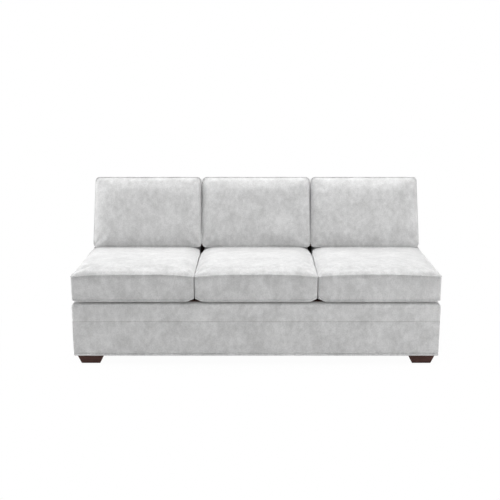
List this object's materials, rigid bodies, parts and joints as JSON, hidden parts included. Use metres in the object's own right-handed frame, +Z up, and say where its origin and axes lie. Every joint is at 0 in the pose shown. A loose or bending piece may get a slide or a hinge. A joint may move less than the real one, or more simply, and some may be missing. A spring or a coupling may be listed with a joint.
{
  "type": "armless sofa",
  "caption": "Armless upholstered bench-form sofa with loose boxed seat cushions, leaning loose back cushions, a deep padded base and low tapered wooden feet.",
  "frame": {"origin": "on the floor under the middle of the sofa's bounding box", "axes": "+X to the right of someone looking at the front, +Y from front to rear, +Z up"},
  "size_m": [1.93, 0.9582, 0.8896],
  "materials": {
    "cover_fabric": "pale grey brushed velvet upholstery",
    "deck_fabric": "dark brown decking cloth",
    "foam": "upholstery foam and wadding",
    "lining": "black non-woven dust cover",
    "webbing": "woven elastic webbing",
    "frame_wood": "planed kiln-dried hardwood",
    "foot_wood": "espresso-stained hardwood",
    "board": "upholsterer's board",
    "spring_steel": "oil-tempered wire",
    "zinc_steel": "zinc plated",
    "zip_tape": "nylon coil zip",
    "glide": "moulded glide"
  },
  "bodies": {
    "sofa_frame": {"front_rail": "frame_wood", "spring_rail": "frame_wood", "side_rails": "frame_wood", "seat_ribs": "frame_wood", "rear_rail": "frame_wood", "back_posts": "frame_wood", "top_rail": "frame_wood", "lower_back_rail": "frame_wood", "back_stiles": "frame_wood", "foot_blocks": "frame_wood", "back_webbing": "webbing", "front_left_foot": "foot_wood", "front_right_foot": "foot_wood", "rear_left_foot": "foot_wood", "rear_right_foot": "foot_wood", "centre_foot": "foot_wood", "foot_bolts": "zinc_steel", "foot_glides": "glide", "seat_springs": "spring_steel", "spring_clips": "zinc_steel", "tie_wires": "spring_steel", "edge_roll": "foam", "deck_foam": "foam", "deck_cloth": "deck_fabric", "seat_border": "cover_fabric", "front_panel": "cover_fabric", "side_panels": "cover_fabric", "bottom_welt": "cover_fabric", "dust_cover": "lining", "inside_back_foam": "foam", "inside_back": "deck_fabric", "outside_back_board": "board", "outside_back": "cover_fabric", "back_ends": "cover_fabric", "back_top_roll": "cover_fabric"},
    "left_seat_cushion": {"left_seat_cover": "cover_fabric", "left_seat_core": "foam", "left_seat_zip": "zip_tape"},
    "left_seat_slider": {"left_seat_zip_slider": "zinc_steel"},
    "middle_seat_cushion": {"middle_seat_cover": "cover_fabric", "middle_seat_core": "foam", "middle_seat_zip": "zip_tape"},
    "middle_seat_slider": {"middle_seat_zip_slider": "zinc_steel"},
    "right_seat_cushion": {"right_seat_cover": "cover_fabric", "right_seat_core": "foam", "right_seat_zip": "zip_tape"},
    "right_seat_slider": {"right_seat_zip_slider": "zinc_steel"},
    "left_back_cushion": {"left_back_cover": "cover_fabric", "left_back_core": "foam", "left_back_zip": "zip_tape"},
    "left_back_slider": {"left_back_zip_slider": "zinc_steel"},
    "middle_back_cushion": {"middle_back_cover": "cover_fabric", "middle_back_core": "foam", "middle_back_zip": "zip_tape"},
    "middle_back_slider": {"middle_back_zip_slider": "zinc_steel"},
    "right_back_cushion": {"right_back_cover": "cover_fabric", "right_back_core": "foam", "right_back_zip": "zip_tape"},
    "right_back_slider": {"right_back_zip_slider": "zinc_steel"}
  },
  "joints": [
    {"name": "left_seat_cushion_pulls_out", "type": "slide", "parent": "sofa_frame", "child": "left_seat_cushion", "axis": [0, -1, 0], "range_m": [0, 0.77]},
    {"name": "middle_seat_cushion_pulls_out", "type": "slide", "parent": "sofa_frame", "child": "middle_seat_cushion", "axis": [0, -1, 0], "range_m": [0, 0.77]},
    {"name": "right_seat_cushion_pulls_out", "type": "slide", "parent": "sofa_frame", "child": "right_seat_cushion", "axis": [0, -1, 0], "range_m": [0, 0.77]},
    {"name": "left_back_cushion_lifts_off", "type": "slide", "parent": "sofa_frame", "child": "left_back_cushion", "axis": [0, 0.2079, 0.9781], "range_m": [0, 0.4]},
    {"name": "middle_back_cushion_lifts_off", "type": "slide", "parent": "sofa_frame", "child": "middle_back_cushion", "axis": [0, 0.2079, 0.9781], "range_m": [0, 0.4]},
    {"name": "right_back_cushion_lifts_off", "type": "slide", "parent": "sofa_frame", "child": "right_back_cushion", "axis": [0, 0.2079, 0.9781], "range_m": [0, 0.4]},
    {"name": "left_seat_zip_opens", "type": "slide", "parent": "left_seat_cushion", "child": "left_seat_slider", "axis": [1, 0, 0], "range_m": [0, 0.46]},
    {"name": "middle_seat_zip_opens", "type": "slide", "parent": "middle_seat_cushion", "child": "middle_seat_slider", "axis": [1, 0, 0], "range_m": [0, 0.46]},
    {"name": "right_seat_zip_opens", "type": "slide", "parent": "right_seat_cushion", "child": "right_seat_slider", "axis": [1, 0, 0], "range_m": [0, 0.46]},
    {"name": "left_back_zip_opens", "type": "slide", "parent": "left_back_cushion", "child": "left_back_slider", "axis": [1, 0, 0], "range_m": [0, 0.46]},
    {"name": "middle_back_zip_opens", "type": "slide", "parent": "middle_back_cushion", "child": "middle_back_slider", "axis": [1, 0, 0], "range_m": [0, 0.46]},
    {"name": "right_back_zip_opens", "type": "slide", "parent": "right_back_cushion", "child": "right_back_slider", "axis": [1, 0, 0], "range_m": [0, 0.46]}
  ]
}
